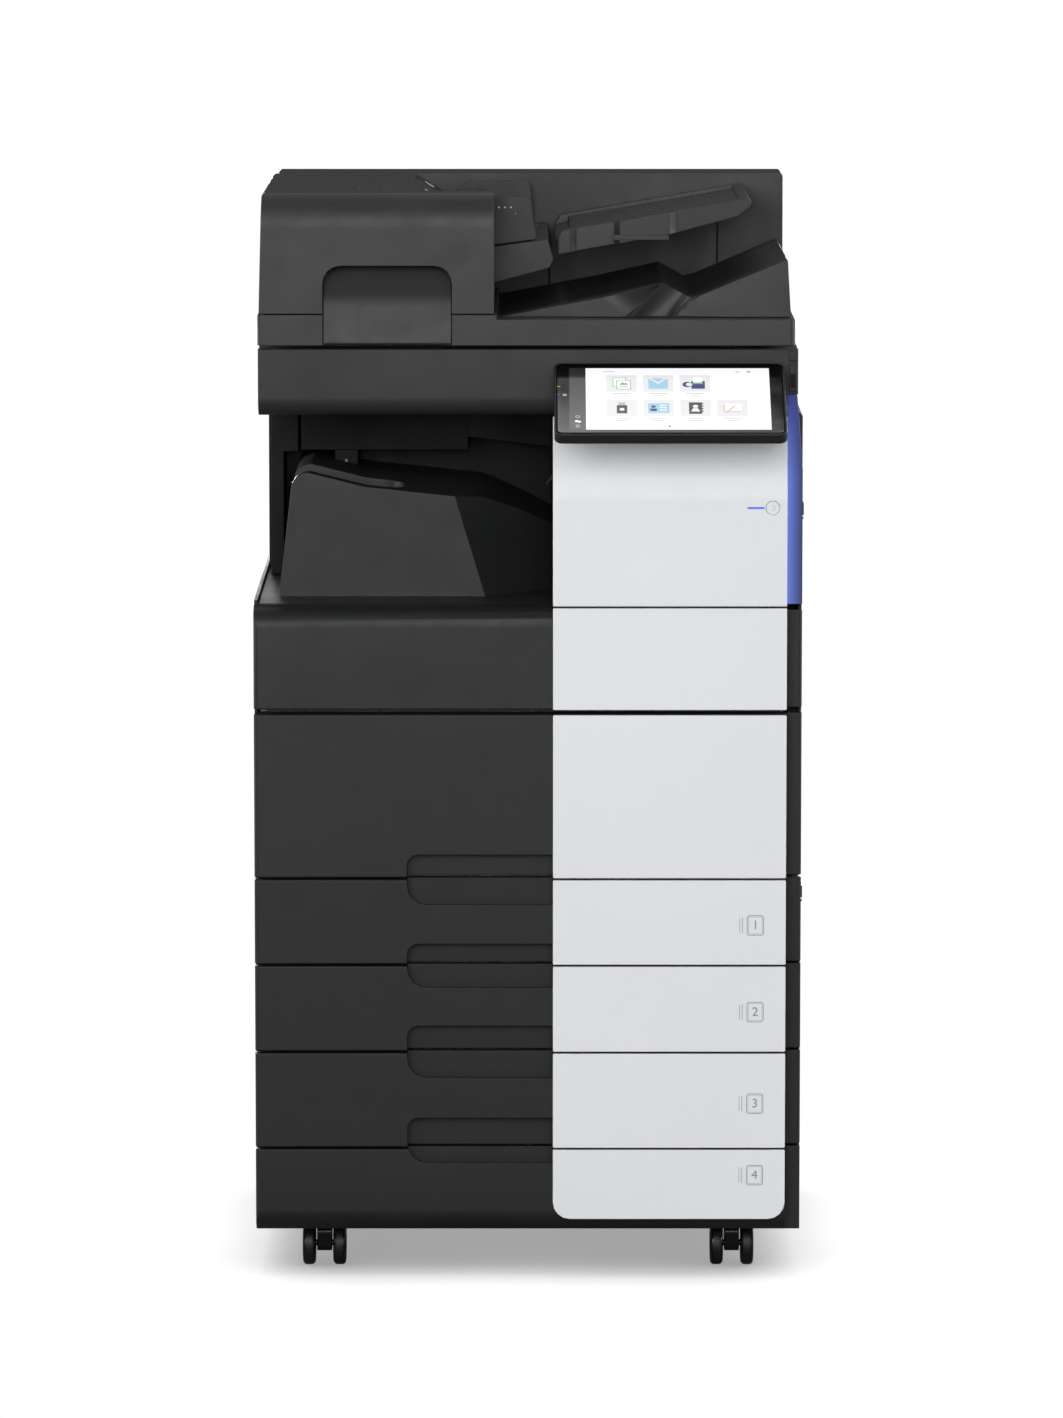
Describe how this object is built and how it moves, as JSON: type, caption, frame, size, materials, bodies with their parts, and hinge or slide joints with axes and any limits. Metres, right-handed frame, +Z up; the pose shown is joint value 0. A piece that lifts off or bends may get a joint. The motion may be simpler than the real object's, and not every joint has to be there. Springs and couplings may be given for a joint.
{
  "type": "photocopier",
  "caption": "Floor-standing A3 photocopier with a document feeder, touch panel, in-body output tray and paper drawers that slide out.",
  "frame": {"origin": "on the floor under the middle of the machine", "axes": "+X to the machine's right as seen from the front, +Y to its back, +Z up"},
  "size_m": [0.617, 0.6838, 1.224],
  "materials": {
    "frame_steel": "zinc-plated sheet",
    "hinge_metal": "black coated steel",
    "cabinet_plastic": "fine moulded texture",
    "drawer_plastic": "fine moulded texture",
    "scanner_plastic": "fine moulded texture",
    "feeder_plastic": "fine moulded texture",
    "dark_plastic": "moulded",
    "light_accent": "satin",
    "white_sheet": "matte",
    "tray_plastic": "moulded",
    "roller_rubber": "matte",
    "wheel_rubber": "smooth",
    "roller_coating": "non-stick sleeve",
    "drum_coating": "polished coating",
    "clear_glass": "float glass",
    "screen_glass": "cover glass over a display",
    "status_glow": "lit light guide"
  },
  "bodies": {
    "machine": {"chassis_frame": "frame_steel", "left_cover": "cabinet_plastic", "rear_cover": "cabinet_plastic", "power_inlet": "dark_plastic", "right_pillar_cover": "dark_plastic", "column_front_cover": "light_accent", "status_light": "status_glow", "output_tray": "scanner_plastic", "bay_rear_cover": "dark_plastic", "scanner_housing": "scanner_plastic", "platen_glass": "clear_glass", "hinge_left": "hinge_metal", "hinge_right": "hinge_metal", "panel_arm": "dark_plastic", "toner_cartridge": "dark_plastic"},
    "power_key": {"power_key": "light_accent"},
    "scan_carriage": {"scan_carriage": "frame_steel"},
    "feeder": {"feeder_base": "feeder_plastic", "platen_pad": "white_sheet", "feeder_body": "dark_plastic", "feeder_rear_cover": "feeder_plastic", "feeder_exit_tray": "feeder_plastic"},
    "feeder_cover": {"feeder_cover": "feeder_plastic"},
    "release_lever": {"release_lever": "dark_plastic"},
    "pickup_roller": {"pickup_roller": "roller_rubber"},
    "document_tray": {"document_tray": "feeder_plastic"},
    "front_guide": {"front_guide": "dark_plastic"},
    "rear_guide": {"rear_guide": "dark_plastic"},
    "control_panel": {"panel_housing": "dark_plastic", "touch_screen": "screen_glass"},
    "upper_door": {"upper_front_door": "cabinet_plastic", "upper_door_accent": "light_accent"},
    "lower_door": {"lower_front_door": "cabinet_plastic", "lower_door_accent": "light_accent"},
    "right_door": {"right_door": "cabinet_plastic"},
    "bypass_tray": {"bypass_tray": "cabinet_plastic"},
    "side_door": {"cabinet_side_door": "cabinet_plastic"},
    "photoconductor_drum": {"photoconductor_drum": "drum_coating"},
    "heat_roller": {"heat_roller": "roller_coating"},
    "pressure_roller": {"pressure_roller": "roller_rubber"},
    "drawer_1": {"drawer_1_front": "drawer_plastic", "drawer_1_accent": "light_accent", "drawer_1_tray": "tray_plastic"},
    "drawer_2": {"drawer_2_front": "drawer_plastic", "drawer_2_accent": "light_accent", "drawer_2_tray": "tray_plastic"},
    "drawer_3": {"drawer_3_front": "drawer_plastic", "drawer_3_accent": "light_accent", "drawer_3_tray": "tray_plastic"},
    "drawer_4": {"drawer_4_front": "drawer_plastic", "drawer_4_accent": "light_accent", "drawer_4_tray": "tray_plastic"},
    "caster_front_left_fork": {"caster_front_left_fork": "dark_plastic"},
    "caster_front_left_wheels": {"caster_front_left_wheels": "wheel_rubber"},
    "caster_front_right_fork": {"caster_front_right_fork": "dark_plastic"},
    "caster_front_right_wheels": {"caster_front_right_wheels": "wheel_rubber"},
    "caster_rear_left_fork": {"caster_rear_left_fork": "dark_plastic"},
    "caster_rear_left_wheels": {"caster_rear_left_wheels": "wheel_rubber"},
    "caster_rear_right_fork": {"caster_rear_right_fork": "dark_plastic"},
    "caster_rear_right_wheels": {"caster_rear_right_wheels": "wheel_rubber"}
  },
  "joints": [
    {"name": "power_key_press", "type": "slide", "parent": "machine", "child": "power_key", "axis": [0, 1, 0], "range_m": [0, 0.001], "stiffness_N_per_m": 600},
    {"name": "carriage_travel", "type": "slide", "parent": "machine", "child": "scan_carriage", "axis": [1, 0, 0], "range_m": [0, 0.44]},
    {"name": "lid_hinge", "type": "hinge", "parent": "machine", "child": "feeder", "pos_m": [0, 0.33, 1.062], "axis": [-1, 0, 0], "range_deg": [0, 60]},
    {"name": "feeder_cover_hinge", "type": "hinge", "parent": "feeder", "child": "feeder_cover", "pos_m": [-0.298, 0, 1.094], "axis": [0, -1, 0], "range_deg": [0, 70]},
    {"name": "release_lever_pull", "type": "hinge", "parent": "feeder_cover", "child": "release_lever", "pos_m": [-0.126, 0.153, 1.219], "axis": [0, -1, 0], "range_deg": [0, 18], "stiffness_Nm_per_rad": 0.1},
    {"name": "pickup_spin", "type": "hinge", "parent": "feeder", "child": "pickup_roller", "pos_m": [-0.132, 0.045, 1.162], "axis": [0, 1, 0], "continuous": true},
    {"name": "document_tray_lift", "type": "hinge", "parent": "feeder", "child": "document_tray", "pos_m": [0.031, 0, 1.15], "axis": [0, -1, 0], "range_deg": [0, 25]},
    {"name": "front_guide_slide", "type": "slide", "parent": "feeder", "child": "front_guide", "axis": [0, 1, 0], "range_m": [0, 0.098]},
    {"name": "rear_guide_slide", "type": "slide", "parent": "feeder", "child": "rear_guide", "axis": [0, -1, 0], "range_m": [0, 0.098]},
    {"name": "panel_tilt", "type": "hinge", "parent": "machine", "child": "control_panel", "pos_m": [0.1572, -0.236, 1.008], "axis": [1, 0, 0], "range_deg": [0, 45]},
    {"name": "upper_door_hinge", "type": "hinge", "parent": "machine", "child": "upper_door", "pos_m": [0, -0.221, 0.648], "axis": [1, 0, 0], "range_deg": [0, 90]},
    {"name": "lower_door_hinge", "type": "hinge", "parent": "machine", "child": "lower_door", "pos_m": [0, -0.221, 0.4576], "axis": [1, 0, 0], "range_deg": [0, 90]},
    {"name": "drawer_1_slide", "type": "slide", "parent": "machine", "child": "drawer_1", "axis": [0, -1, 0], "range_m": [0, 0.4]},
    {"name": "drawer_2_slide", "type": "slide", "parent": "machine", "child": "drawer_2", "axis": [0, -1, 0], "range_m": [0, 0.4]},
    {"name": "drawer_3_slide", "type": "slide", "parent": "machine", "child": "drawer_3", "axis": [0, -1, 0], "range_m": [0, 0.4]},
    {"name": "drawer_4_slide", "type": "slide", "parent": "machine", "child": "drawer_4", "axis": [0, -1, 0], "range_m": [0, 0.4]},
    {"name": "right_door_hinge", "type": "hinge", "parent": "machine", "child": "right_door", "pos_m": [0.3055, 0.198, 0.682], "axis": [0, 0, 1], "range_deg": [0, 60]},
    {"name": "bypass_tray_hinge", "type": "hinge", "parent": "right_door", "child": "bypass_tray", "pos_m": [0.304, 0.005, 0.506], "axis": [0, 1, 0], "range_deg": [0, 70]},
    {"name": "side_door_hinge", "type": "hinge", "parent": "machine", "child": "side_door", "pos_m": [0.3055, 0.198, 0.256], "axis": [0, 0, 1], "range_deg": [0, 80]},
    {"name": "drum_spin", "type": "hinge", "parent": "machine", "child": "photoconductor_drum", "pos_m": [0.19, 0, 0.59], "axis": [0, 1, 0], "continuous": true},
    {"name": "heat_roller_spin", "type": "hinge", "parent": "machine", "child": "heat_roller", "pos_m": [0.2, 0, 0.7], "axis": [0, 1, 0], "continuous": true},
    {"name": "pressure_roller_spin", "type": "hinge", "parent": "machine", "child": "pressure_roller", "pos_m": [0.2406, 0, 0.7], "axis": [0, 1, 0], "continuous": true},
    {"name": "caster_front_left_swivel", "type": "hinge", "parent": "machine", "child": "caster_front_left_fork", "pos_m": [-0.232, -0.12, 0.055], "axis": [0, 0, 1], "continuous": true},
    {"name": "caster_front_left_roll", "type": "hinge", "parent": "caster_front_left_fork", "child": "caster_front_left_wheels", "pos_m": [-0.232, -0.138, 0.02484], "axis": [1, 0, 0], "continuous": true},
    {"name": "caster_front_right_swivel", "type": "hinge", "parent": "machine", "child": "caster_front_right_fork", "pos_m": [0.232, -0.12, 0.055], "axis": [0, 0, 1], "continuous": true},
    {"name": "caster_front_right_roll", "type": "hinge", "parent": "caster_front_right_fork", "child": "caster_front_right_wheels", "pos_m": [0.232, -0.138, 0.02484], "axis": [1, 0, 0], "continuous": true},
    {"name": "caster_rear_left_swivel", "type": "hinge", "parent": "machine", "child": "caster_rear_left_fork", "pos_m": [-0.232, 0.262, 0.055], "axis": [0, 0, 1], "continuous": true},
    {"name": "caster_rear_left_roll", "type": "hinge", "parent": "caster_rear_left_fork", "child": "caster_rear_left_wheels", "pos_m": [-0.232, 0.244, 0.02484], "axis": [1, 0, 0], "continuous": true},
    {"name": "caster_rear_right_swivel", "type": "hinge", "parent": "machine", "child": "caster_rear_right_fork", "pos_m": [0.232, 0.262, 0.055], "axis": [0, 0, 1], "continuous": true},
    {"name": "caster_rear_right_roll", "type": "hinge", "parent": "caster_rear_right_fork", "child": "caster_rear_right_wheels", "pos_m": [0.232, 0.244, 0.02484], "axis": [1, 0, 0], "continuous": true}
  ],
  "couplings": [
    {"joint": "rear_guide_slide", "follows": "front_guide_slide", "ratio": 1},
    {"joint": "pressure_roller_spin", "follows": "heat_roller_spin", "ratio": -1}
  ]
}
